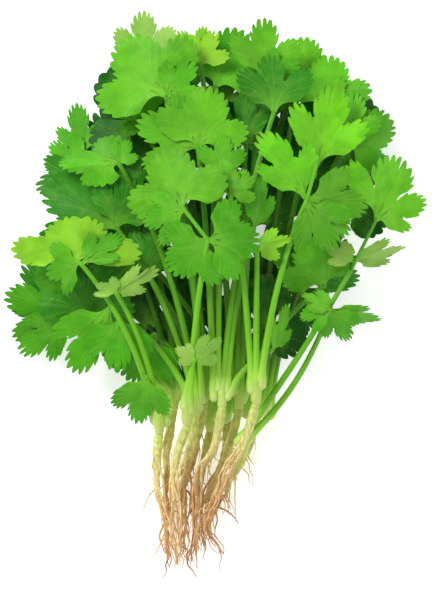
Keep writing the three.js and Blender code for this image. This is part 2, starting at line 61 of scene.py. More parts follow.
PLANTS = [
    plant((6, -64), [(4, -84), (-4, -102), (-7, -128)]),
    plant((-3, -70), [(-6.5, -88), (-11, -108), (-12, -136)]),
    plant((-21.5, -60), [(-25, -82), (-24.5, -106), (-25.5, -132)],
        frond((-48, 63), (102, -6, 0, 36, "wide", "deep")),
        frond((-69, 63), (2, 6, 97, -6, 4, 27, "slim", "mid"), (140, -8, 6, 21, "fan", "mid"),
            (-1, -3, 200, -8, 6, 24, "plain", "shade")),
        frond((-75, -12), (126, -4, 8, 38, "fan", "shade"), (158, -6, 4, 36, "fan", "mid"),
            (0, -2, 213, -8, 0, 31, "slim", "mid")),
        frond((-66, -15.5), (84, -6, 0, 31, "wide", "shade"))),
    plant((20, -67), [(14, -83), (4, -97), (-3, -115)],
        frond((42, 102), (84, -6, 0, 28, "round", "bright")),
        frond((54, 92), (80, -6, 0, 31, "round", "bright"), (12, -8, 0, 22, "plain", "bright")),
        frond((65, 74), (27, -8, 0, 30, "round", "bright"), (78, -8, 4, 28, "fan", "bright")),
        frond((42.5, 3), (84, -6, 0, 29, "fan", "mid"), (50, -8, 0, 37, "fan", "shade"))),
    plant((-6, -56), [(-10, -76), (-15.5, -98), (-15, -131)],
        frond((-37, 114), (88, -6, 2, 29, "fan", "pale")),
        frond((-31.5, 88), (168, -8, 4, 23, "fan", "mid"), (124, -8, 4, 27, "plain", "mid")),
        frond((0, 103), (65, -6, 0, 35, "round", "mid")),
        frond((-37.5, 11.5), (122, -8, 4, 30, "round", "shade"), (62, -8, 0, 25, "plain", "shade")),
        frond((-31, -22), (236, -6, 0, 29, "round", "mid"))),
    plant((11.5, -59), [(6, -80), (-1, -100), (-5, -116), (3, -132)],
        frond((-8, 114), (126, -8, 6, 23, "fan", "lime"), (64, -8, -6, 20, "plain", "lime")),
        frond((23.5, 107.5), (86, -6, 2, 32, "fan", "bright"), (1, 0, 24, -8, -6, 20, "plain", "mid")),
        frond((15, 74), (94, -8, 0, 28, "slim", "shade")),
        frond((54, 3), (112, -6, 0, 29, "round", "bright"))),
    plant((-10, -63), [(-14, -84), (-18, -104), (-17, -134)],
        frond((-50, 32), (139, -6, 8, 47, "round", "shade"), (74, -6, 0, 30, "plain", "shade")),
        frond((-48.5, 64), (170, -6, 60, 32, "wide", "mid"), (62, -8, 20, 15, "plain", "mid")),
        frond((-53, -8), (240, -8, 4, 43, "slim", "mid"), (5, -5, 268, -8, 4, 31, "plain", "mid")),
        frond((-25, 97.5), (126, -8, 6, 41, "round", "bright"),
            (1, 0, 52, -8, -10, 23, "plain", "mid"))),
    plant((3, -58), [(-1, -78), (-10, -95), (-10, -131)],
        frond((-9, 72), (155, -6, 6, 37, "fan", "bright"), (80, -6, -4, 33, "round", "bright")),
        frond((2.5, 59.5), (88, -6, 0, 21, "plain", "bright")),
        frond((29, 89.5), (92, -8, 2, 33, "fan", "shade")),
        frond((19, 31.5), (73, -2, 52, 30, "slim", "mid")),
        frond((28.5, -29), (66, -6, 52, 25, "slim", "bright"))),
    plant((13, -84), [(7, -94), (-1, -103), (-6, -115)],
        frond((67.5, 10.5), (13, 26, 60, -6, 4, 37, "cut", "rich"),
            (1, 5, 8, -4, 62, 31, "slim", "pale"), (1, 5, 150, -6, 44, 18, "plain", "pale"),
            bow=(0.53, 0.47)),
        frond((57, -9), (-18, -10, 58, 28, "slim", "bright"), (-62, -10, 20, 20, "fan", "mid"),
            (192, -10, 20, 18, "fan", "mid"), (145, -4, 50, 18, "plain", "bright"), bow=(0.66, 0.36))),
    plant((-28.5, -71), [(-30, -86), (-28, -108), (-23, -139)],
        frond((-68, 14.5), (-2, 1, 92, -46, 4, 41, "wide", "lime"),
            (-1, 0, 200, -30, 10, 24, "plain", "mid"), (2, 0, 40, -14, -30, 25, "slim", "mid")),
        frond((-50, -0.5), (24, -6, 62, 25, "plain", "pale"), (150, -30, 40, 15, "plain", "pale")),
        frond((-35, -43), (260, -12, 4, 27, "fan", "mid"))),
    plant((20, -56), [(14, -75), (4, -91), (-1, -112)],
        frond((45, 45), (5, 18, 76, -8, 0, 47, "slim", "rich"),
            (-1, 2, 113, -4, 30, 41, "slim", "rich"), (1, 1, -4, -10, -6, 33, "fan", "bright"),
            (0, -1, -60, -8, 4, 30, "fan", "bright")),
        frond((7, 48), (97, -6, 10, 19, "fan", "bright"), (38, -8, -6, 17, "plain", "bright")),
        frond((20.5, 21.5), (12, -2, 42, 19, "plain", "lime"))),
    plant((-14.5, -67), [(-20.5, -86), (-21.5, -106), (-20, -137)],
        frond((-4, 25.5), (-13, 17, 108, -6, 4, 33, "wide", "bright"),
            (-12, 15, 196, -16, 10, 25, "fan", "mid"), (-1, 0, 222, -14, -6, 28, "round", "mid"),
            (1, 0, 0, -8, -8, 29, "round", "mid")),
        frond((-11, -34), (32, -4, 46, 19, "fan", "pale"), (152, -8, -30, 12, "plain", "pale"))),
]
# Trefoils under the other leaves, as (plant, x, y).
UNDER_TREFOILS = [
    (3, -40, 86), (1, -18, 97), (3, 5, 97), (1, 36, 92), (1, 60, 76), (0, 64, 45), (0, 38, 64),
    (1, 12, 75), (0, -13, 65), (1, -41, 58), (3, -60, 36), (0, -68, 4), (1, -45, 13), (0, -22, 36),
    (1, 28, 34), (1, 36, 3), (1, -34, -17), (0, -12, -14), (3, 23, -17),
]
UNDER_SEED = 5
UNDER_LENGTH = 29.5  # 1.5 mm more than in the CAD model, to close gaps
UNDER_VARIES = 0.1
UNDER_TURN = 15
UNDER_PITCH = -4
UNDER_ROLL = 8

# Stalks, crowns and the room that each plant has, as in the CAD model.
BLADE_HALF = 0.4  # half thickness of a CAD leaflet
BLADE_FOOT_HALF = 0.9
BLADE_SINK = 1.4
STALK_RADII = (2.4, 1.6)
FOOT_PITCH = 2.1
STALK_ROOM = 2.7
RISE_FROM = 0.8
RISE_LENGTH = 0.2
STEMLET_RADII = (1.0, 0.8)
CROWN_RADII = (2.1, 3.2, 3.4, 2.8)
CROWN_LENGTH = 17
FOOT_HEIGHT = 9
COLLAR_GAP = 0.3

ROOT_THICKNESS = 20
LEAF_THICKNESS = 54
THICKEST_Y = 50
THICK_REACH = 100
SIDE_REACH = 105
SIDE_THINNING = 0.45
SWELL = 3.5
SWELL_X = 17
SWELL_Y = 21
NECK_SPREAD = 4.8
SPREAD_GROWTH = 0.1
NECK_Y = -60
BLADE_SPREAD = 13
FOOT_REACH = 5
LIMB_POINTS = 5
LEAST_SHARE = 0.03
LEAST_ROOM = 0.05
STALK_ROOM_SHARE = 0.8
CLEARANCE = 0.22

# ---- The finer pieces
# A pair that is given to about() is a value and how much it varies.
# How each form is cut: the depth of its deepest notches, and the degrees its cuts open by.
TEETH = {
    "fan": (0.27, 2.0), "round": (0.23, 1.6), "wide": (0.21, 1.4), "slim": (0.28, 2.4),
    "cut": (0.3, 5.0), "plain": (0.27, 2.0), "trefoil": (0.16, 0.5),
}
LEAST_NOTCH = 0.34  # the shallowest notch over the deepest
EXTRA_TEETH = 1  # a lobe of n teeth in the solids has 2 * (n + this) - 1
TOOTH_POWER = 1.15  # how bluntly a tooth ends beside a shallow notch
NOTCH_POWER = 3.0  # how much narrower a deep notch is
TOOTH_DRIFT = 0.2
TOOTH_POINTS = 7
LOBE_REACH = 1.02
LOBE_TURN = 3
LOBE_VARIES = 0.05
LOBE_SPREAD = 1.13  # a lobe's width over the CAD one's, which closes the cuts between
LEAST_GAP = 0.4  # degrees between a lobe and the middle of the cut
LOBE_FALL = 0.3  # how much a lobe is shorter at its sides
SLIT_POINTS = 6  # on each side of a cut between two lobes
SLIT_POWER = 1.25  # above 1, a cut is widest nearer its bottom
SLIT_VARIES = 0.5
SLIT_BLEND = 0.22  # how far out from a cut's bottom its columns follow the ribs fully
SHOULDER_POINTS = 12  # on each shoulder of a leaflet, below its side lobes
SHOULDER_TURN = 5
SHOULDER_FALL = 0.32
SHOULDER_TEETH = 2
SHOULDER_DEPTH = 0.04
BLADE_ROWS = (0, 0.12, 0.25, 0.38, 0.5, 0.62, 0.74, 0.84, 0.93, 1)
UNDER_ROWS = (0, 0.3, 0.6, 0.85, 1)
RIB_PULL = 0.6  # how far out along a lobe's rib its side veins leave it
RIB_START = 0.42  # the direction that a rib starts in, over the one it ends in
LEAF_HALF = 0.19  # half thickness of a leaf
RIM_SHARE = 0.45  # of that at the edge
UNDER_HEIGHT = 0.25  # of the leaves that are pressed on the surface below
ARCH = (0.01, 0.004)  # of the midrib, in radians over a mm
CUP = 0.09
MARGIN_WAVE = 0.035
MARGIN_WAVES = 4
MARGIN_TURN = 160
PUCKERS = ((0.36, 0.06), (0.44, 0.08))  # along and across, in radians over a mm
RIPPLE = 0.8
PLEAT = 0.008
RIB_WIDTH = 0.9
SIDE_VEIN_WIDTH = 0.5
PHASE = 3  # radians that a wave starts early or late
LEAFLET_SEEDS = (1000, 10)
STALK_SEEDS = (500, 20)
ROOT_SEED = 300
END_TAPER = 0.55  # of a tube's last ring
END_RING = 0.6  # how far out that is, and then the tip, over the radius
END_TIP = 0.8
LOWEST = 0.02  # mm that a tube stays above the table
STALK_SIDES = 16
STALK_STEPS = 40
STALK_STEP_POWER = 1.2
STALK_RIBBING = 0.05
STEMLET_SIDES = 12
STEMLET_STEPS = 10
STEMLET_LEAST = 3  # mm from the hub, past which a leaflet has a stalk of its own
ROUND_SHARE = 0.7  # a stalk's radius over that of its square CAD tube
SHEATH_SWELL = 1.0
SHEATH_LENGTH = 6.5
SHEATH_DROP = 2.6  # how far below its CAD foot a sheath starts, on average
RIBS = 8
CROWN_SIDES = 24
CROWN_STEPS = 18
CROWN_SMOOTHING = (0.25, 0.5, 0.25)
CROWN_TAPER = 0.8
CROWN_TAPER_FROM = 0.45
CROWN_RIBBING = 0.03
CROWN_AIM = 0.06  # how far along the stalks the crown's top is
ROOT_SIDES = 14
ROOT_STEPS = 56
TAP_RADII = (1.9, 2.3, 2.1, 1.7, 1.3, 0.95, 0.7, 0.5, 0.3)
TAP_SWAY = 0.8
TAP_SWAYS = (20, 5)
TAP_KINKS = (0.4, 52)  # width and waves
TAP_KNOBS = (0.12, 61, 37)  # height, and two waves that beat
TAP_RIBBING = 0.04
TAP_LEAN = -0.3
STRANDS = 4
STRAND_SIDES = 9
STRAND_STARTS = (0.12, 0.14)  # the first, and the step to the next
STRAND_END = (0.97, 0.05)
STRAND_WIND = (2.4, 1.2)
STRAND_TURNS = (1.6, 0.8)
STRAND_DRIFT = 2.2
STRAND_KINKS = (0.5, 47)  # width and waves
STRAND_RADIUS = (0.85, 0.25)
STRAND_TAPER = 0.75
FINE_SIDES = 6
FINE_STEPS = 20
FINE_TAPER = 0.7
FINE_LEAN = 0.8
FINE_AGE = 0.3
LATERALS = 9
LATERAL_SHARES = (0.2, 0.94)  # from where to where on the tap root they start
LATERAL_PLACE = (0.5, 0.4)
HAIRS = 14
HAIR_SHARES = (0.25, 0.98)  # the same for hairs
# Length, heading and radius of a side root and of a hair, and its steps.
LATERAL = ((14, 6), (-90, 38), (0.5, 0.15), 8)
HAIR = ((9, 5), (-90, 50), (0.17, 0.05), 7)
WALK_RETURN = 0.85  # share of its slant that a side root keeps at each step
WALK_TURN = 24
LOWEST_HAIR = -144.0  # y that no hair ends past
LEAST_RADIUS = 0.1
LONG_HAIR_PLANT = 8
LONG_HAIR = [(12, -84), (10, -92), (9.5, -102), (10, -115.5)]
LONG_HAIR_THICK = 0.6
LONG_HAIR_SHARE = 0.2

# Material places on a shoot and on a root.
LEAF_SLOT = 0
STALK_SLOT = 1
ROOT_SLOT = 0
# Colours in sRGB.
# Leaf tones: partly the leaves' own greens and partly painted light. 'lime' is a painted back-lit glow,
# and 'shade' and 'deep' are painted shade for leaves that lie low or under others.
TONES = {
    "pale": (158, 206, 86),
    "lime": (160, 232, 50),
    "bright": (104, 192, 30),
    "mid": (88, 184, 22),
    "rich": (116, 216, 24),
    "shade": (52, 136, 24),
    "deep": (26, 88, 14),
}
UNDERSIDE = (150, 196, 104)
UNDERSIDE_SHARE = 0.45
TONE_VARIES = 0.1
CAST_VARIES = (0.1, 0, 0.12)
SLOPE_VARIES = (0.2, 0.34)  # of the tone, along a leaflet and across it
LEAF_TIP = (120, 104, 52)
TIP_BROWN = 0.5
TIP_FROM = 0.86
FOOT_PALENESS = 0.5
FOOT_FADE = 0.28
STALK_TONES = ((220, 238, 142), (174, 230, 78), (142, 226, 40), (120, 216, 32), (102, 206, 28))
STALK_STOPS = (0, 6, 20, 60, 150)
STALK_PAINTED_SHADE = (20, 70, 8)  # painted shade: what the stalks of the lowest plants turn towards
STALK_PAINTED_SHADE_SHARE = 0.95
STALK_PAINTED_SHADE_POWER = 1.1
STALK_PAINTED_SHADE_WAY = (4, 34)  # mm along a stalk, over which that comes in
CROWN_TONES = ((222, 230, 132), (196, 226, 104), (150, 208, 70))
CROWN_STOPS = (0, 0.35, 1)
ROOT_TONES = ((208, 232, 120), (230, 234, 144), (244, 226, 158), (242, 208, 148), (232, 192, 138))
ROOT_STOPS = (0, 0.22, 0.5, 0.75, 1)
ROOT_BROWN = (180, 112, 64)  # of the older roots
ROOT_BROWN_SHARE = 0.6
ROOT_BROWN_FROM = 0.3
ROOT_BAND = 0.08
ROOT_BANDS = (80, 20)
ROOT_LIGHT = (1.1, 0.14)
ROOT_PAINTED_SHADE = (128, 98, 44)  # painted shade: what the roots of the lowest plants turn towards
ROOT_PAINTED_SHADE_SHARE = 0.36
ROOT_GRAIN = 0.16  # width of the flecks on a root over their length

# What is mixed into them, as (share, colour).
LEAF_PATCH = (0.26, (40, 128, 12))
LEAF_BLOOM = (0.12, (150, 222, 88))
LEAF_VEIN = (0.13, (170, 222, 104))
LEAF_MOTTLE = (0.22, (34, 114, 8))
STALK_STREAK = (0.12, (186, 240, 84))
ROOT_WRINKLE = (0.3, (150, 84, 42))
# Noise is (scale, detail), an edge (full, none), a bump (m, strength), gloss (roughness, specular).
PATCH_NOISE = (95, 1)
PATCH_EDGE = (0.62, 0.38)
BLOOM_NOISE = (150, 2)
BLOOM_EDGE = (0.66, 0.5)
VEIN_EDGE = (0.1, 0.5)
MOTTLE_NOISE = (420, 3)
CELL_NOISE = (1100, 2)
CELL_SHARE = 0.3
PILLOW_WIDTH = 2.4  # of the swell between veins, over a vein's width
LEAF_BUMP = (0.00015, 0.5)
LEAF_GLOSS = (0.5, 0.18)
STREAK_NOISE = (420, 2)
RIB_BUMP = (0.00012, 0.6)
STALK_GLOSS = (0.4, 0.35)
ROOT_NOISE = (900, 3)
WRINKLE_EDGE = (0.62, 0.36)
WRINKLE_BUMP = (0.0004, 0.6)
ROOT_GLOSS = (0.7, 0.25)
FLOOR_NOISE = (40, 2)
FLOOR_GLOSS = (0.9, 0.5)

SHARP_ANGLE = 65  # faces that meet more sharply keep a hard edge
PHOTO_SIZE = (443, 612)
PHOTO_MM = 0.5  # one pixel of the photograph's frame
LAYOUT_PIXEL = (216.0, 291.5)  # where the layout's own origin shows in that frame
CAMERA_HEIGHT = 4.0
CAMERA_LIFT = 0.04
SENSOR = 36
SKY_LIGHT = 0.5
# Lamps as (name, place, size, power), in metres and watts.
LAMPS = (("key", (-0.75, 0.8, 1.1), 0.6, 15), ("fill", (0.8, -0.5, 1.2), 1.0, 3))
FLOOR_GLOW = 0.5
FLOOR_HALF = 3.0
FLOOR_TONES = ((250, 250, 250), (253, 253, 253))


def linear(colour):
    """sRGB of 0 to 255, as linear light."""
    c = np.asarray(colour, float) / 255
    return np.where(c <= 0.04045, c / 12.92, ((c + 0.055) / 1.055) ** 2.4)


def draw_from(seed):
    """A repeatable random draw between -1 and 1, the same as the CAD model's."""
    mask = 0xFFFFFFFF
    state = [seed & mask]

    def draw():
        state[0] = (state[0] + 0x6D2B79F5) & mask
        s = state[0]
        t = ((s ^ (s >> 15)) * (1 | s)) & mask
        t = ((t + (((t ^ (t >> 7)) * (61 | t)) & mask)) & mask) ^ t
        return 2 * ((t ^ (t >> 14)) & mask) / (mask + 1) - 1

    return draw


def smooth(x, low, high):
    """0 below low, 1 above high, and even between."""
    t = np.clip((x - low) / (high - low), 0, 1)
    return t * t * (3 - 2 * t)


def about(pair, draw):
    """The first number, give or take up to the second."""
    return pair[0] + pair[1] * draw()


def between(pair, t):
    """From the first number at 0 to the second at 1."""
    return pair[0] + (pair[1] - pair[0]) * t


def aim_of(heading):
    return np.array([math.cos(math.radians(heading)), math.sin(math.radians(heading))])


def lengths_along(points):
    """How far along a route each of its points is."""
    return np.r_[0, np.cumsum(np.linalg.norm(np.diff(points, axis=0), axis=1))]


def join(parts):
    """Parts that each have the same set of arrays, as one such set."""
    return tuple(np.concatenate(column) for column in zip(*parts))


def add_under_fronds():
    """Adds the trefoils to their plants, each headed away from its crown."""
    draw = draw_from(UNDER_SEED)
    for level, x, y in UNDER_TREFOILS:
        cx, cy = PLANTS[level]["crown"]
        length = UNDER_LENGTH * (1 + UNDER_VARIES * draw())
        heading = math.degrees(math.atan2(y - cy, x - cx)) + UNDER_TURN * draw()
        # The deep tone is painted shade for these trefoils under the other leaves.
        row = (heading, UNDER_PITCH, UNDER_ROLL * draw(), length, "trefoil", "deep")
        PLANTS[level]["fronds"].append(frond((x, y), row))


# ---- Where things run, seen from above
def quadratic(start, bend, end, t):
    """Points on the curve from start to end that is drawn towards bend."""
    t = np.asarray(t, float)[:, None]
    return (1 - t) ** 2 * start + 2 * t * (1 - t) * bend + t**2 * end


def stalk_controls(owner, stalk):
    """Foot, bend and hub of a stalk. The feet stand side by side in the order of their bearings."""
    cx, cy = owner["crown"]

    def bearing(other):
        return math.atan2(other["hub"][1] - cy, other["hub"][0] - cx)

    order = sum(bearing(other) > bearing(stalk) for other in owner["fronds"])
    shift = (order - (len(owner["fronds"]) - 1) / 2) * FOOT_PITCH
    foot = np.array([cx + shift, cy + FOOT_HEIGHT])
    hub = stalk["hub"]
    return foot, foot + (hub - foot) * stalk["bow"], hub


def spline(points, t):
    """Points on the even Catmull-Rom curve through the given ones."""
    points = np.asarray(points, float)
    last = len(points) - 1
    place = np.clip(np.asarray(t, float), 0, 1) * last
    index = np.minimum(place.astype(int), last - 1)
    u = (place - index)[:, None]
    p0, p1 = points[np.maximum(index - 1, 0)], points[index]
    p2, p3 = points[index + 1], points[np.minimum(index + 2, last)]
    v0, v1 = (p2 - p0) / 2, (p3 - p1) / 2
    return ((2 * p1 - 2 * p2 + v0 + v1) * u**3 + (-3 * p1 + 3 * p2 - 2 * v0 - v1) * u**2
            + v0 * u + p1)


def root_route(owner):
    top = (owner["crown"][0], owner["crown"][1] - COLLAR_GAP)
    return [top, *owner["root"]]


# ---- Room for each plant, as in the CAD model
def limbs_along(points):
    """(from, to, spread) of each stretch of a route."""
    points = np.asarray(points, float)
    spread = NECK_SPREAD + SPREAD_GROWTH * np.maximum(0, points[1:, 1] - NECK_Y)
    return points[:-1], points[1:], spread


def leaflet_limb(stalk, row):
    dx, dy, heading, pitch, _, length = row[:6]
    foot = stalk["hub"] + (dx, dy)
    reach = length * math.cos(math.radians(pitch))
    tip = foot + reach * aim_of(heading)
    return foot[None], tip[None], np.array([BLADE_SPREAD], float)


def frond_limbs(owner, stalk):
    route = quadratic(*stalk_controls(owner, stalk), np.linspace(0, 1, LIMB_POINTS))
    return join([limbs_along(route), *(leaflet_limb(stalk, row) for row in stalk["leaflets"])])


def plant_limbs(owner, fronds):
    x, y = owner["crown"]
    route = [(x, y + CROWN_LENGTH), (x, y), *owner["root"]]
    return join([*fronds, limbs_along(route)])


add_under_fronds()
FROND_LIMBS = [[frond_limbs(owner, stalk) for stalk in owner["fronds"]] for owner in PLANTS]
PLANT_LIMBS = [plant_limbs(owner, limbs) for owner, limbs in zip(PLANTS, FROND_LIMBS)]


def claim(limbs, at):
    """How strongly some limbs need room at each place, from LEAST_SHARE up."""
    start, end, spread = limbs
    along = end - start
    offset = at[:, None, :] - start[None]
    share = np.clip((offset * along).sum(-1) / (along**2).sum(-1), 0, 1)
    distance = np.linalg.norm(offset - share[..., None] * along, axis=-1)
    free = np.prod(1 - np.exp(-0.5 * (distance / spread) ** 2), axis=1)
    return LEAST_SHARE + 1 - free


def share_of(claims, index, height, at):
    """Shares a height out among neighbours, and gives the middle and half height of one."""
    shares = np.stack([claim(limbs, at) for limbs in claims])
    unit = height / shares.sum(0)
    half = unit * shares[index] / 2
    return unit * shares[:index].sum(0) + half, half


def bunch_thickness(at):
    x, y = at.T
    leafy = LEAF_THICKNESS * np.exp(-(((y - THICKEST_Y) / THICK_REACH) ** 2))
    flat = (ROOT_THICKNESS + leafy) * (1 - SIDE_THINNING * (x / SIDE_REACH) ** 2)
    swell = SWELL * np.sin(x / SWELL_X + 1) * np.sin(y / SWELL_Y)
    return flat + swell * leafy / LEAF_THICKNESS


def level_at(level, at):
    return share_of(PLANT_LIMBS, level, bunch_thickness(at), at)


def shelf_at(level, index, at):
    """The shelf of one frond inside its plant's level, above the stalks."""
    middle, half = level_at(level, at)
    room = half - CLEARANCE
    lowest = np.minimum(STALK_ROOM, STALK_ROOM_SHARE * room)
    inner, inner_half = share_of(FROND_LIMBS[level], index, 2 * room - lowest, at)
    return middle - room + lowest + inner, inner_half


def tray_at(shelf, stalk, number, at):
    """The part of its frond's shelf that one leaflet has."""
    claims = [leaflet_limb(stalk, row) for row in stalk["leaflets"]]
    inner, inner_half = share_of(claims, number, 2 * shelf[1], at)
    return shelf[0] - shelf[1] + inner, inner_half


# ---- Meshes
def put(name, data):
    """A new object in the scene."""
    made = bpy.data.objects.new(name, data)
    bpy.context.scene.collection.objects.link(made)
    return made


class Mesh:
    """Gathers quads with a colour for each point and a map place for each corner."""

    def __init__(self):
        self.parts = []
        self.count = 0

    def add(self, points, quads, places, tints, slot):
        self.parts.append((points, quads + self.count, places, tints, np.full(len(quads), slot)))
        self.count += len(points)

    def make(self, name, materials, origin):
        points, quads, places, tints, slots = join(self.parts)
        points = (points - (*origin, 0)) * MM
        data = bpy.data.meshes.new(name)
        data.from_pydata(points.tolist(), [], quads.tolist())
        for material in materials:
            data.materials.append(material)
        data.polygons.foreach_set("material_index", slots.astype(np.int32))
        data.shade_smooth()
        data.set_sharp_from_angle(angle=math.radians(SHARP_ANGLE))
        place = data.uv_layers.new(name="place")
        place.data.foreach_set("uv", places.astype(np.float32).ravel())
        tint = data.color_attributes.new("tint", "FLOAT_COLOR", "POINT")
        tint.data.foreach_set("color", np.c_[tints, np.ones(len(tints))].astype(np.float32).ravel())
        data.update()
        return put(name, data)


def grid_quads(rows, columns, closed):
    """Quads of a grid of points, row by row; closed joins the last column to the first."""
    row = np.arange(rows - 1)[:, None]
    column = np.arange(columns if closed else columns - 1)[None]
    after = (column + 1) % columns
    corners = [row * columns + column, row * columns + after,
               (row + 1) * columns + after, (row + 1) * columns + column]
    return np.stack(np.broadcast_arrays(*corners), -1).reshape(-1, 4)


# ---- Leaflets
def lobe_points(lobe, form, limits, draw):
    """One lobe's edge, as (direction, radius): uneven teeth, with narrow notches where they are deep."""
    middle, half, reach, teeth = lobe
    nodes = np.arange(2 * (teeth + EXTRA_TEETH))
    last = nodes[-1]
    deep = np.abs([draw() for _ in nodes])
    depths = TEETH[form][0] * (LEAST_NOTCH + (1 - LEAST_NOTCH) * deep**2)
    powers = TOOTH_POWER + NOTCH_POWER * deep
    drift = TOOTH_DRIFT * np.array([draw() for _ in nodes]) * (nodes > 0) * (nodes < last)
    step = 0.5 - 0.5 * np.cos(np.pi * np.linspace(0, 1, TOOTH_POINTS + 1)[:-1])
    place = np.append((nodes[:-1, None] + step).ravel(), last)
    nearest = np.rint(place).astype(int)
    drop = depths[nearest] * (1 - 2 * np.abs(place - nearest)) ** powers[nearest]
    share = 2 * np.interp(place, nodes, nodes + drift) / last - 1
    radius = reach * (LOBE_REACH - LOBE_FALL * share**2 - drop)
    direction = np.clip(middle + LOBE_SPREAD * half * share, *limits)
    return np.c_[direction, radius][1:-1]


def cut_between(before, after):
    """The direction of the cut between two lobes."""
    return (before[0] + before[1] + after[0] - after[1]) / 2


def slit_points(edge, sinus, toward, eye):
    """One side of a cut, from the lobe's edge in to the sinus, opening on the way."""
    q = np.linspace(0, 1, SLIT_POINTS + 2)[1:-1]
    gap = edge[0] - sinus[0]
    opening = np.sign(gap) * eye * np.sin(np.pi * q**SLIT_POWER)
    points = np.c_[sinus[0] + gap * np.sqrt(1 - q**2) + opening, edge[1] + (sinus[1] - edge[1]) * q]
    return points if toward else points[::-1]


def shoulder_points(end, side):
    """Small teeth below a side lobe, from its last point down the side of the wedge."""
    t = np.linspace(0, 1, SHOULDER_POINTS + 1)[1:]
    teeth = SHOULDER_DEPTH * np.abs(np.sin(np.pi * SHOULDER_TEETH * t))
    return np.c_[end[0] + side * SHOULDER_TURN * t, end[1] * (1 - SHOULDER_FALL * t) + teeth]


def polar(points):
    angle = np.radians(points[:, 0])
    return np.c_[np.cos(angle), np.sin(angle)] * points[:, 1:]


def outline(form, draw):
    """A leaflet's flat edge from its right shoulder round to the left one.

    Also gives the lobe that each point is on, and how strongly its column bends from that lobe's rib.
    """
    lobes, sinus = FORMS[form]
    lobes = [(middle + LOBE_TURN * draw(), half, reach * (1 + LOBE_VARIES * draw()), teeth)
             for middle, half, reach, teeth in lobes]
    cuts = [cut_between(*pair) for pair in zip(lobes, lobes[1:])]
    starts = [-180, *(cut + LEAST_GAP for cut in cuts)]
    ends = [*(cut - LEAST_GAP for cut in cuts), 180]
    edges = [lobe_points(lobe, form, limits, draw) for lobe, limits in zip(lobes, zip(starts, ends))]
    right = shoulder_points(edges[0][0], -1)[::-1]
    left = shoulder_points(edges[-1][-1], 1)
    parts, owners = [right, edges[0]], [0] * (len(right) + len(edges[0]))
    pulls = [np.ones(len(owners))]
    for i, direction in enumerate(cuts):
        bottom = (direction, sinus)
        eye = TEETH[form][1] * (1 + SLIT_VARIES * draw())
        slit = [slit_points(edges[i][-1], bottom, True, eye), np.array([bottom]),
                slit_points(edges[i + 1][0], bottom, False, eye)]
        parts += [*slit, edges[i + 1]]
        owners += [i] * (SLIT_POINTS + 1) + [i + 1] * (SLIT_POINTS + len(edges[i + 1]))
        depth = np.concatenate(slit)[:, 1]
        pulls += [smooth(depth, sinus, sinus + SLIT_BLEND), np.ones(len(edges[i + 1]))]
    parts.append(left)
    owners += [len(lobes) - 1] * len(left)
    pulls.append(np.ones(len(left)))
    return polar(np.concatenate(parts)), np.array(owners), np.concatenate(pulls)


def leaflet_grid(edge, owners, pulls, form, length, rows):
    """Columns of flat points that leave the foot near the midrib and bend out to the edge."""
    ribs = np.radians([lobe[0] for lobe in FORMS[form][0]])[owners]
    start = pulls * ribs + (1 - pulls) * np.arctan2(edge[:, 1], edge[:, 0])
    if form != "trefoil":
        start = start * RIB_START
    control = RIB_PULL * np.hypot(*edge.T)[:, None] * np.c_[np.cos(start), np.sin(start)]
    foot = np.c_[np.zeros(len(edge)), np.linspace(-1, 1, len(edge)) * BLADE_FOOT_HALF / length]
    t = rows[:, None, None]
    return (1 - t) ** 2 * foot + 2 * t * (1 - t) * control + t**2 * edge


def lobe_places(edge, owners, form):
    """How far each column ends from its lobe's rib, in degrees, and its place among the teeth."""
    lobes = np.array(FORMS[form][0])[owners]
    away = np.degrees(np.arctan2(edge[:, 1], edge[:, 0])) - lobes[:, 0]
    share = away / (LOBE_SPREAD * lobes[:, 1])
    return away, share, 2 * (lobes[:, 3] + EXTRA_TEETH) - 1


def vein_distances(edge, owners, form, length, rows):
    """How far each point is from the nearest vein, over that vein's width, and from the foot."""
    away, share, teeth = lobe_places(edge, owners, form)
    reach = rows[:, None] ** 2 * np.hypot(*edge.T) * length
    tooth = (share + 1) * teeth / 2
    cell = np.radians(np.abs(away) / np.maximum(np.abs(share), 1e-6)) * 2 / teeth * reach
    side = np.abs(tooth - np.floor(tooth) - 0.5) * cell
    rib = np.radians(np.abs(away)) * reach
    return np.stack([np.minimum(rib / RIB_WIDTH, side / SIDE_VEIN_WIDTH), reach], -1).reshape(-1, 2)


def bend(flat, length, sway):
    """Bends flat leaflet points: the midrib arches down, the sides cup, and the margin waves."""
    x, y = flat.T * length
    radius = np.hypot(*flat.T)
    direction = np.degrees(np.arctan2(flat[:, 1], flat[:, 0]))
    arch = ARCH[0] + ARCH[1] * sway
    phase = np.radians(MARGIN_WAVES * direction + MARGIN_TURN * sway)
    wave = MARGIN_WAVE * length * radius**2 * np.sin(phase)
    z = -(1 - np.cos(arch * x)) / arch + CUP * sway * y * y / length + wave
    return np.c_[np.sin(arch * x) / arch, y, z]


def turn_of(heading, pitch, roll):
    """The turn of a leaflet from along x: roll first, then pitch, then heading."""
    return np.array(Euler(np.radians([roll, -pitch, heading])).to_matrix())


def wander(place, waves, draw):
    """A wave with a random start."""
    return np.sin(place * waves + PHASE * draw())


def relief(flat, edge, owners, form, length, draw):
    """The pleat along each lobe, and slow puckers that grow towards the edge."""
    _, share, _ = lobe_places(edge, owners, form)
    radius = np.hypot(*flat.T)
    folds = np.cos(np.pi * np.clip(share, -1, 1))
    pleat = PLEAT * length * radius * np.tile(folds, len(flat) // len(edge))
    x, y = flat.T * length
    slow = 1
    for place, waves in zip((x, y), PUCKERS):
        slow = slow * wander(place, about(waves, draw), draw)
    return RIPPLE * slow * radius**1.5 + pleat


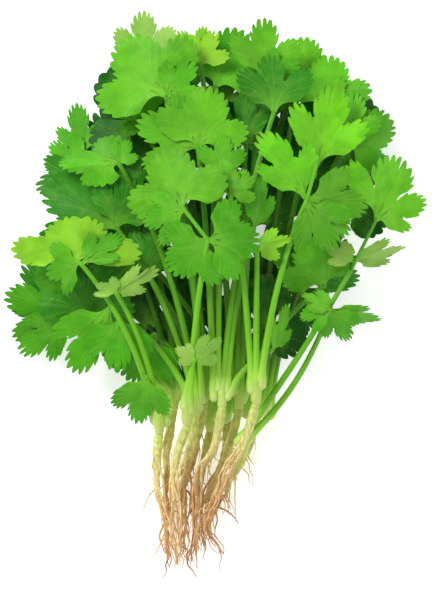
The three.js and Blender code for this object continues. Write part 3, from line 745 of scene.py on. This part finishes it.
def blade_points(level, index, stalk, number, flat, sway, rise):
    """A leaflet's middle surface, kept in its tray."""
    dx, dy, heading, pitch, roll, length = stalk["leaflets"][number][:6]
    foot = stalk["hub"] + (dx, dy) - BLADE_SINK * aim_of(heading)
    turned = bend(flat, length, sway)
    turned[:, 2] += rise
    turned = turned @ turn_of(heading, pitch, roll).T
    at = foot + turned[:, :2]
    if level == 0:
        return np.c_[at, np.full(len(at), UNDER_HEIGHT)]
    shelf = shelf_at(level, index, at)
    tray = tray_at(shelf, stalk, number, at)
    room = np.maximum(tray[1] - BLADE_HALF, LEAST_ROOM)
    near = np.minimum(1, np.hypot(*flat.T) * length / FOOT_REACH)
    base = shelf[0] + (tray[0] - shelf[0]) * near
    return np.c_[at, base + room * np.tanh(turned[:, 2] / room)]


def grid_normals(points):
    """The upward normals of a grid of points."""
    along = np.gradient(points, axis=0)
    across = np.gradient(points, axis=1)
    normal = np.cross(along, across)
    size = np.linalg.norm(normal, axis=-1, keepdims=True)
    normal = normal / np.maximum(size, 1e-9)
    return normal * np.sign(normal[..., 2:].mean())


def leaf_tints(tone, flat, rows, draw):
    """Colours over a leaflet: its own cast, lighter at the foot and to one side, brown at some tips."""
    own = linear(TONES[tone]) * (1 + TONE_VARIES * draw()) * (1 + np.array(CAST_VARIES) * draw())
    x, y = flat.T
    own = own * (1 + SLOPE_VARIES[0] * draw() * x + SLOPE_VARIES[1] * draw() * y)[:, None]
    foot = FOOT_PALENESS * np.exp(-((np.hypot(x, y) / FOOT_FADE) ** 2))[:, None]
    tint = own * (1 - foot) + linear(STALK_TONES[2]) * foot
    brown = max(0, TIP_BROWN * draw())
    tips = (brown * smooth(rows * np.hypot(x, y), TIP_FROM, 1))[:, None]
    return tint * (1 - tips) + linear(LEAF_TIP) * tips


def add_leaflet(mesh, level, index, stalk, number):
    """One leaflet: an upper and a lower face that meet in a thin rim."""
    length, form, tone = stalk["leaflets"][number][5:8]
    draw = draw_from(LEAFLET_SEEDS[0] * level + LEAFLET_SEEDS[1] * index + number)
    sway = draw()
    edge, owners, pulls = outline(form, draw)
    rows = np.array(UNDER_ROWS if form == "trefoil" else BLADE_ROWS)
    flat = leaflet_grid(edge, owners, pulls, form, length, rows)
    shape = flat.shape[:2]
    flat = flat.reshape(-1, 2)
    rise = relief(flat, edge, owners, form, length, draw)
    grid = blade_points(level, index, stalk, number, flat, sway, rise).reshape(*shape, 3)
    thin = LEAF_HALF * (1 - (1 - RIM_SHARE) * rows**6)
    offset = grid_normals(grid) * thin[:, None, None]
    tints = leaf_tints(tone, flat, np.repeat(rows, shape[1]), draw)
    under = UNDERSIDE_SHARE * linear(UNDERSIDE) + (1 - UNDERSIDE_SHARE) * tints
    quads = grid_quads(*shape, False)
    count = len(flat)
    faces = np.concatenate([quads, quads[:, ::-1] + count, edge_quads(shape, count)])
    places = vein_distances(edge, owners, form, length, rows)[faces.ravel() % count]
    points = np.concatenate([grid + offset, grid - offset]).reshape(-1, 3)
    mesh.add(points, faces, places, np.concatenate([tints, under]), LEAF_SLOT)


def edge_quads(shape, count):
    """The quads between the edges of the upper and lower faces, all the way round."""
    rows, columns = shape
    rim = (rows - 1) * columns + np.arange(columns)
    left = np.arange(rows - 2, 0, -1) * columns + columns - 1
    foot = np.arange(columns)[::-1]
    right = np.arange(1, rows - 1) * columns
    loop = np.concatenate([rim, left, foot, right])
    after = np.roll(loop, -1)
    return np.stack([loop, loop + count, after + count, after], -1)


# ---- Stalks, crowns and roots
def headings_of(plan):
    """A route's direction at each of its points."""
    step = np.gradient(plan, axis=0)
    return np.arctan2(step[:, 1], step[:, 0])


def tube_points(level, plan, radii, sides, lift=None, ribs=0.0, lean=0.0):
    """Rings round a plan route, kept inside the plant's level.

    lift gives the rings' heights. Without it they run in the middle of the level, or as far
    below or above it as lean says, from -1 to 1.
    """
    middle, half = level_at(level, plan)
    fit = np.maximum(np.minimum(radii, half - CLEARANCE), LEAST_RADIUS * np.minimum(1, radii))
    height = middle + lean * np.maximum(half - CLEARANCE - fit, 0) if lift is None else lift
    turn = 2 * np.pi * np.arange(sides) / sides
    heading = headings_of(plan)
    across = np.c_[-np.sin(heading), np.cos(heading)]
    reach = fit[:, None] * (1 + ribs * np.cos(RIBS * turn))[None]
    at = plan[:, None, :] + across[:, None, :] * (reach * np.cos(turn))[..., None]
    z = height[:, None] + reach * np.sin(turn)
    return np.concatenate([at, np.maximum(z, LOWEST)[..., None]], -1)


def add_tube(mesh, rings, tints, slot):
    """A tube with rounded ends through rings of points."""
    first = end_rings(rings[0], rings[1])
    last = end_rings(rings[-1], rings[-2])
    full = np.stack([*first[::-1], *rings, *last])
    tints = np.concatenate([tints[:1], tints[:1], tints, tints[-1:], tints[-1:]])
    rows, sides = full.shape[:2]
    quads = grid_quads(rows, sides, True)
    length = lengths_along(full.mean(1))
    row, column = np.divmod(np.arange((rows - 1) * sides), sides)
    u = np.stack([column, column + 1, column + 1, column], -1) / sides
    v = length[np.stack([row, row, row + 1, row + 1], -1)]
    places = np.stack([u, v], -1).reshape(-1, 2)
    mesh.add(full.reshape(-1, 3), quads, places, np.repeat(tints, sides, 0), slot)


def end_rings(ring, beyond):
    """A smaller ring just past a tube's end, and the point that closes it."""
    centre = ring.mean(0)
    way = centre - beyond.mean(0)
    way = way / max(np.linalg.norm(way), 1e-9) * np.linalg.norm(ring - centre, axis=1).mean()
    near = centre + (ring - centre) * END_TAPER + END_RING * way
    tip = np.repeat((centre + END_TIP * way)[None], len(ring), 0)
    return [near, tip]


def ramp(t, colours, stops):
    """Colours between those at the stops, as linear light."""
    colours = np.stack([linear(c) for c in colours])
    return np.stack([np.interp(t, stops, colours[:, k]) for k in range(3)], -1)


def stalk_lift(level, index, plan, t, cad_radii):
    """The height of a stalk: low in its level, then rising to the middle of its frond's shelf."""
    middle, half = level_at(level, plan)
    fit = np.minimum(cad_radii, half - CLEARANCE)
    low = middle - half + CLEARANCE + fit
    rise = smooth(t, RISE_FROM, RISE_FROM + RISE_LENGTH)
    return low + (shelf_at(level, index, plan)[0] - low) * rise


def add_stalk(mesh, level, index, owner, stalk):
    """A leaf stalk, which starts in a pale swollen sheath on its crown, with painted shade on the stalks
    of plants lower in the bunch.
    """
    foot, bend_point, hub = stalk_controls(owner, stalk)
    draw = draw_from(STALK_SEEDS[0] + STALK_SEEDS[1] * level + index)
    lower = SHEATH_DROP * (1 + draw()) / np.linalg.norm(2 * (bend_point - foot))
    t = np.linspace(0, 1, STALK_STEPS) ** STALK_STEP_POWER * (1 + lower) - lower
    plan = quadratic(foot, bend_point, hub, t)
    cad_radii = between(STALK_RADII, t)
    lift = stalk_lift(level, index, plan, t, cad_radii)
    way = lengths_along(plan)
    sheath = 1 + SHEATH_SWELL * np.exp(-((way / SHEATH_LENGTH) ** 2))
    radii = ROUND_SHARE * cad_radii * sheath
    rings = tube_points(level, plan, radii, STALK_SIDES, lift, STALK_RIBBING)
    tints = ramp(way, STALK_TONES, STALK_STOPS)
    # Painted shade: past their pale foot, the stalks of plants lower in the bunch turn darker, as if
    # shaded by those above.
    depth = STALK_PAINTED_SHADE_SHARE * (1 - level / len(PLANTS)) ** STALK_PAINTED_SHADE_POWER
    deep = (depth * smooth(way, *STALK_PAINTED_SHADE_WAY))[:, None]
    add_tube(mesh, rings, tints * (1 - deep) + linear(STALK_PAINTED_SHADE) * deep, STALK_SLOT)


def add_stemlet(mesh, level, index, stalk, row):
    """A short thin stalk from a hub to a leaflet that stands off it."""
    t = np.linspace(0, 1, STEMLET_STEPS)
    plan = stalk["hub"] + np.array(row[:2]) * t[:, None]
    lift = shelf_at(level, index, plan)[0]
    rings = tube_points(level, plan, between(STEMLET_RADII, t), STEMLET_SIDES, lift)
    add_tube(mesh, rings, ramp(t, (STALK_TONES[-1], TONES["bright"]), (0, 1)), STALK_SLOT)


def add_crown(mesh, level, owner):
    """The swollen base of a plant, which narrows up between the stalks."""
    t = np.linspace(0, 1, CROWN_STEPS)
    x, y = owner["crown"]
    tops = [quadratic(*stalk_controls(owner, stalk), [CROWN_AIM])[0, 0] for stalk in owner["fronds"]]
    plan = np.c_[x + (np.mean(tops) - x) * t**2, y + CROWN_LENGTH * t]
    radii = np.interp(t, np.linspace(0, 1, len(CROWN_RADII)), CROWN_RADII)
    radii = np.convolve(np.pad(radii, 1, "edge"), CROWN_SMOOTHING, "valid")
    radii[0] = TAP_RADII[0]
    radii *= 1 - CROWN_TAPER * smooth(t, CROWN_TAPER_FROM, 1)
    rings = tube_points(level, plan, radii, CROWN_SIDES, ribs=CROWN_RIBBING)
    add_tube(mesh, rings, ramp(t, CROWN_TONES, CROWN_STOPS), STALK_SLOT)


def root_tints(level, t, draw):
    """Colours along a root: cream, then tan, faintly banded, and browner on some, with painted shade on
    the roots of plants lower in the bunch.
    """
    bands = 1 + ROOT_BAND * np.sin(t * about(ROOT_BANDS, draw))
    brown = (max(0, ROOT_BROWN_SHARE * draw()) * smooth(t, ROOT_BROWN_FROM, 1))[:, None]
    tints = ramp(t, ROOT_TONES, ROOT_STOPS) * (1 - brown) + linear(ROOT_BROWN) * brown
    tints = tints * (about(ROOT_LIGHT, draw) * bands)[:, None]
    # Painted shade: roots of plants lower in the bunch turn darker and browner, as if shaded by those
    # above.
    deep = ROOT_PAINTED_SHADE_SHARE * (1 - level / len(PLANTS))
    return tints * (1 - deep) + linear(ROOT_PAINTED_SHADE) * deep


def add_tap_root(mesh, level, owner, draw):
    """The main root, knobbly and swaying, and its middle line."""
    t = np.linspace(0, 1, ROOT_STEPS)
    plan = spline(root_route(owner), t)
    sway = TAP_SWAY * wander(t, about(TAP_SWAYS, draw), draw)
    plan[:, 0] += t * (sway + TAP_KINKS[0] * wander(t, TAP_KINKS[1], draw))
    radii = np.interp(t, np.linspace(0, 1, len(TAP_RADII)), TAP_RADII)
    knobs = 1 + TAP_KNOBS[0] * wander(t, TAP_KNOBS[1], draw) * wander(t, TAP_KNOBS[2], draw)
    rings = tube_points(level, plan, radii * knobs, ROOT_SIDES, ribs=TAP_RIBBING, lean=TAP_LEAN)
    add_tube(mesh, rings, root_tints(level, t, draw), ROOT_SLOT)
    return plan


def add_strands(mesh, level, owner, draw):
    """Thinner roots that leave the tap root high up and wind down beside it."""
    for number in range(STRANDS):
        side = 1 if number % 2 else -1
        start = STRAND_STARTS[0] + STRAND_STARTS[1] * number
        t = np.linspace(start, about(STRAND_END, draw), ROOT_STEPS)
        plan = spline(root_route(owner), t)
        u = (t - start) / (1 - start)
        wind = side * about(STRAND_WIND, draw) * np.sin(np.pi * u * about(STRAND_TURNS, draw))
        plan[:, 0] += wind + STRAND_DRIFT * draw() * u**2
        plan[:, 0] += STRAND_KINKS[0] * wander(t, STRAND_KINKS[1], draw) * u
        radii = about(STRAND_RADIUS, draw) * (1 - STRAND_TAPER * u)
        rings = tube_points(level, plan, radii, STRAND_SIDES, lean=FINE_LEAN * draw())
        add_tube(mesh, rings, root_tints(level, t, draw), ROOT_SLOT)


def walk(start, length, heading, draw, steps):
    """A wandering route that comes back towards straight down, and ends by LOWEST_HAIR."""
    points = [np.array(start, float)]
    for _ in range(steps):
        heading = -90 + WALK_RETURN * (heading + 90) + WALK_TURN * draw()
        points.append(points[-1] + length / steps * aim_of(heading))
    points = np.array(points)
    fall = points[0, 1] - points[:, 1].min()
    points[:, 1] -= points[0, 1]
    points[:, 1] *= min(1, (start[1] - LOWEST_HAIR) / max(fall, 0.1))
    points[:, 1] += start[1]
    return points


def add_fine_root(mesh, level, route, thick, share, draw):
    """A thin root, which starts in its tap root's colour at that share of it."""
    t = np.linspace(0, 1, FINE_STEPS)
    radii = thick * (1 - FINE_TAPER * t)
    rings = tube_points(level, spline(route, t), radii, FINE_SIDES, lean=FINE_LEAN * draw())
    age = np.clip(share + FINE_AGE * t, 0, 1)
    add_tube(mesh, rings, root_tints(level, age, draw), ROOT_SLOT)


def add_side_root(mesh, level, plan, share, kind, draw):
    """A thin root that wanders off from the share along the tap root."""
    length, heading, thick, steps = kind
    start = plan[int(share * (len(plan) - 1))]
    route = walk(start, about(length, draw), about(heading, draw), draw, steps)
    add_fine_root(mesh, level, route, about(thick, draw), share, draw)


def add_rootlets(mesh, level, plan, draw):
    """Side roots along the tap root, and finer hairs."""
    for i in range(LATERALS):
        place = (i + about(LATERAL_PLACE, draw)) / LATERALS
        add_side_root(mesh, level, plan, between(LATERAL_SHARES, place), LATERAL, draw)
    for _ in range(HAIRS):
        add_side_root(mesh, level, plan, between(HAIR_SHARES, abs(draw())), HAIR, draw)


# ---- Materials
class Nodes:
    """Short calls for making shader nodes."""

    def __init__(self, name):
        self.material = bpy.data.materials.new(name)
        self.material.use_nodes = True
        self.tree = self.material.node_tree
        self.shader = self.tree.nodes["Principled BSDF"]

    def node(self, kind, **values):
        made = self.tree.nodes.new(kind)
        for name, value in values.items():
            setattr(made, name, value)
        return made

    def link(self, source, target):
        self.tree.links.new(source, target)

    def math(self, operation, first, second=None):
        made = self.node("ShaderNodeMath", operation=operation)
        for socket, value in zip(made.inputs, (first, second)):
            if isinstance(value, (int, float)):
                socket.default_value = value
            elif value is not None:
                self.link(value, socket)
        return made.outputs[0]

    def step(self, value, start, end):
        """1 where the value is start, 0 where it is end, and even between."""
        made = self.node("ShaderNodeMapRange", interpolation_type="SMOOTHSTEP")
        self.link(value, made.inputs["Value"])
        for name, number in (("From Min", start), ("From Max", end), ("To Min", 1), ("To Max", 0)):
            made.inputs[name].default_value = number
        return made.outputs["Result"]

    def noise(self, scale, detail, vector=None):
        made = self.node("ShaderNodeTexNoise")
        made.inputs["Scale"].default_value = scale
        made.inputs["Detail"].default_value = detail
        if vector is None:
            vector = self.node("ShaderNodeTexCoord").outputs["Object"]
        self.link(vector, made.inputs["Vector"])
        return made.outputs["Fac"]

    def place(self):
        """How far from a vein a leaf's point is, or how far round its tube."""
        split = self.node("ShaderNodeSeparateXYZ")
        self.link(self.node("ShaderNodeUVMap", uv_map="place").outputs["UV"], split.inputs[0])
        return split.outputs["X"]

    def tint(self):
        return self.node("ShaderNodeAttribute", attribute_name="tint").outputs["Color"]

    def mix(self, share, first, second):
        made = self.node("ShaderNodeMix", data_type="RGBA")
        self.link(share, made.inputs["Factor"])
        for socket, value in ((made.inputs["A"], first), (made.inputs["B"], second)):
            if isinstance(value, tuple):
                socket.default_value = value
            else:
                self.link(value, socket)
        return made.outputs["Result"]

    def tinge(self, tint, mask, share, colour):
        """Mixes up to a share of a colour into a tint, where the mask is bright."""
        return self.mix(self.math("MULTIPLY", mask, share), tint, rgba(colour))

    def bump(self, height, distance, strength):
        made = self.node("ShaderNodeBump")
        made.inputs["Strength"].default_value = strength
        made.inputs["Distance"].default_value = distance
        self.link(height, made.inputs["Height"])
        self.link(made.outputs["Normal"], self.shader.inputs["Normal"])

    def shade(self, colour, roughness, specular):
        self.link(colour, self.shader.inputs["Base Color"])
        self.shader.inputs["Roughness"].default_value = roughness
        self.shader.inputs["Specular IOR Level"].default_value = specular


def rgba(colour):
    return (*linear(colour).tolist(), 1.0)


def leaf_material():
    """Fresh leaf: faint veins out to the teeth, on a satin skin with lighter and deeper patches."""
    n = Nodes("leaf")
    away = n.place()
    vein = n.step(away, *VEIN_EDGE)
    patches = n.step(n.noise(*PATCH_NOISE), *PATCH_EDGE)
    bloom = n.step(n.noise(*BLOOM_NOISE), *BLOOM_EDGE)
    tint = n.tint()
    for mask, colour in ((patches, LEAF_PATCH), (bloom, LEAF_BLOOM), (vein, LEAF_VEIN),
                         (n.noise(*MOTTLE_NOISE), LEAF_MOTTLE)):
        tint = n.tinge(tint, mask, *colour)
    n.shade(tint, *LEAF_GLOSS)
    pillow = n.math("SUBTRACT", 1.0, n.step(away, 0.0, PILLOW_WIDTH))
    cells = n.math("MULTIPLY", n.noise(*CELL_NOISE), CELL_SHARE)
    n.bump(n.math("ADD", pillow, cells), *LEAF_BUMP)
    return n.material


def stalk_material():
    """Juicy ribbed stalk."""
    n = Nodes("stalk")
    ribs = n.math("SINE", n.math("MULTIPLY", n.place(), 4 * math.pi * RIBS))
    tint = n.tinge(n.tint(), n.noise(*STREAK_NOISE), *STALK_STREAK)
    n.shade(tint, *STALK_GLOSS)
    n.bump(ribs, *RIB_BUMP)
    return n.material


def root_material():
    """Pale fibrous root, darker in its wrinkles."""
    n = Nodes("root")
    lengthwise = n.node("ShaderNodeVectorMath", operation="MULTIPLY")
    n.link(n.node("ShaderNodeTexCoord").outputs["Object"], lengthwise.inputs[0])
    lengthwise.inputs[1].default_value = (1, ROOT_GRAIN, 1)
    streaks = n.noise(*ROOT_NOISE, lengthwise.outputs["Vector"])
    tint = n.tinge(n.tint(), n.step(streaks, *WRINKLE_EDGE), *ROOT_WRINKLE)
    n.shade(tint, *ROOT_GLOSS)
    n.bump(streaks, *WRINKLE_BUMP)
    return n.material


def floor_material():
    """White table with a soft light of its own."""
    n = Nodes("floor")
    grain = n.mix(n.noise(*FLOOR_NOISE), *(rgba(tone) for tone in FLOOR_TONES))
    n.shade(grain, *FLOOR_GLOSS)
    n.shader.inputs["Emission Color"].default_value = (1, 1, 1, 1)
    n.shader.inputs["Emission Strength"].default_value = FLOOR_GLOW
    return n.material


# ---- The scene
def layout_origin():
    """Where the frame's origin is in the layout, from the tip of the longest root."""
    longest = min(range(len(PLANTS)), key=lambda i: PLANTS[i]["root"][-1][1])
    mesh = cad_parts[f"plant_{longest + 1:02d}_root"].data
    points = np.array([v.co[:] for v in mesh.vertices]) / MM
    tip = points[points[:, 1] < points[:, 1].min() + 0.01]
    return np.array(PLANTS[longest]["root"][-1]) - tip[:, :2].mean(0)


def add_plants(origin):
    """Two pieces for each plant, which take the place of its shoot and its root."""
    materials = [leaf_material(), stalk_material()]
    rooty = [root_material()]
    for level, owner in enumerate(PLANTS):
        name = f"plant_{level + 1:02d}"
        shoot = Mesh()
        add_crown(shoot, level, owner)
        for index, stalk in enumerate(owner["fronds"]):
            add_stalk(shoot, level, index, owner, stalk)
            for number, row in enumerate(stalk["leaflets"]):
                if math.hypot(row[0], row[1]) > STEMLET_LEAST:
                    add_stemlet(shoot, level, index, stalk, row)
                add_leaflet(shoot, level, index, stalk, number)
        finish(shoot.make(f"{name}_leaves_and_stalks", materials, origin), f"{name}_shoot")
        root = Mesh()
        draw = draw_from(ROOT_SEED + level)
        plan = add_tap_root(root, level, owner, draw)
        add_strands(root, level, owner, draw)
        add_rootlets(root, level, plan, draw)
        if level == LONG_HAIR_PLANT:
            add_fine_root(root, level, LONG_HAIR, LONG_HAIR_THICK, LONG_HAIR_SHARE, draw)
        finish(root.make(f"{name}_tap_root", rooty, origin), f"{name}_root")


def finish(piece, node):
    """Puts a piece in the place of a CAD node."""
    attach(piece, "root")
    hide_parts(node)


def add_camera(origin):
    """Looks straight down, framed as the photograph is."""
    centre = (np.array([PHOTO_SIZE[0] / 2, -PHOTO_SIZE[1] / 2])
              - (LAYOUT_PIXEL[0], -LAYOUT_PIXEL[1])) * PHOTO_MM - origin
    camera = bpy.data.cameras.new("camera")
    camera.sensor_width = SENSOR
    camera.lens = SENSOR * CAMERA_HEIGHT / (PHOTO_SIZE[1] * PHOTO_MM * MM)
    body = put("camera", camera)
    body.location = (centre[0] * MM, centre[1] * MM, CAMERA_HEIGHT + CAMERA_LIFT)
    bpy.context.scene.camera = body


def add_lamp(name, place, size, power):
    """A round lamp that points at the middle of the bunch."""
    light = bpy.data.lights.new(name, "AREA")
    light.shape = "DISK"
    light.size = size
    light.energy = power
    lamp = put(name, light)
    lamp.location = place
    aim = -np.array(place)
    lamp.rotation_euler = (math.atan2(math.hypot(aim[0], aim[1]), -aim[2]), 0,
                           math.atan2(aim[1], aim[0]) - math.pi / 2)


def add_studio():
    """White surroundings, the lamps and the table."""
    world = bpy.data.worlds.new("studio")
    world.use_nodes = True
    background = world.node_tree.nodes["Background"].inputs
    background["Color"].default_value = (1, 1, 1, 1)
    background["Strength"].default_value = SKY_LIGHT
    bpy.context.scene.world = world
    bpy.context.scene.view_settings.view_transform = "Standard"
    for lamp in LAMPS:
        add_lamp(*lamp)
    data = bpy.data.meshes.new("floor")
    corners = [(x * FLOOR_HALF, y * FLOOR_HALF, 0) for x, y in ((-1, -1), (1, -1), (1, 1), (-1, 1))]
    data.from_pydata(corners, [], [(0, 1, 2, 3)])
    data.materials.append(floor_material())
    put("floor", data)


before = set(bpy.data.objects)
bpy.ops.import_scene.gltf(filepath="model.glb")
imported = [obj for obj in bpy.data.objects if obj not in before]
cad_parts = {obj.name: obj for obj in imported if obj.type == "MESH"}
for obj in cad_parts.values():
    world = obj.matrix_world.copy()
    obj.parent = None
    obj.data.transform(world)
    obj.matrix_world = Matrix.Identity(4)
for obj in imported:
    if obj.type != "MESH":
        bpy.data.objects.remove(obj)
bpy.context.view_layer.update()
origin = layout_origin()
add_camera(origin)
add_studio()
add_plants(origin)
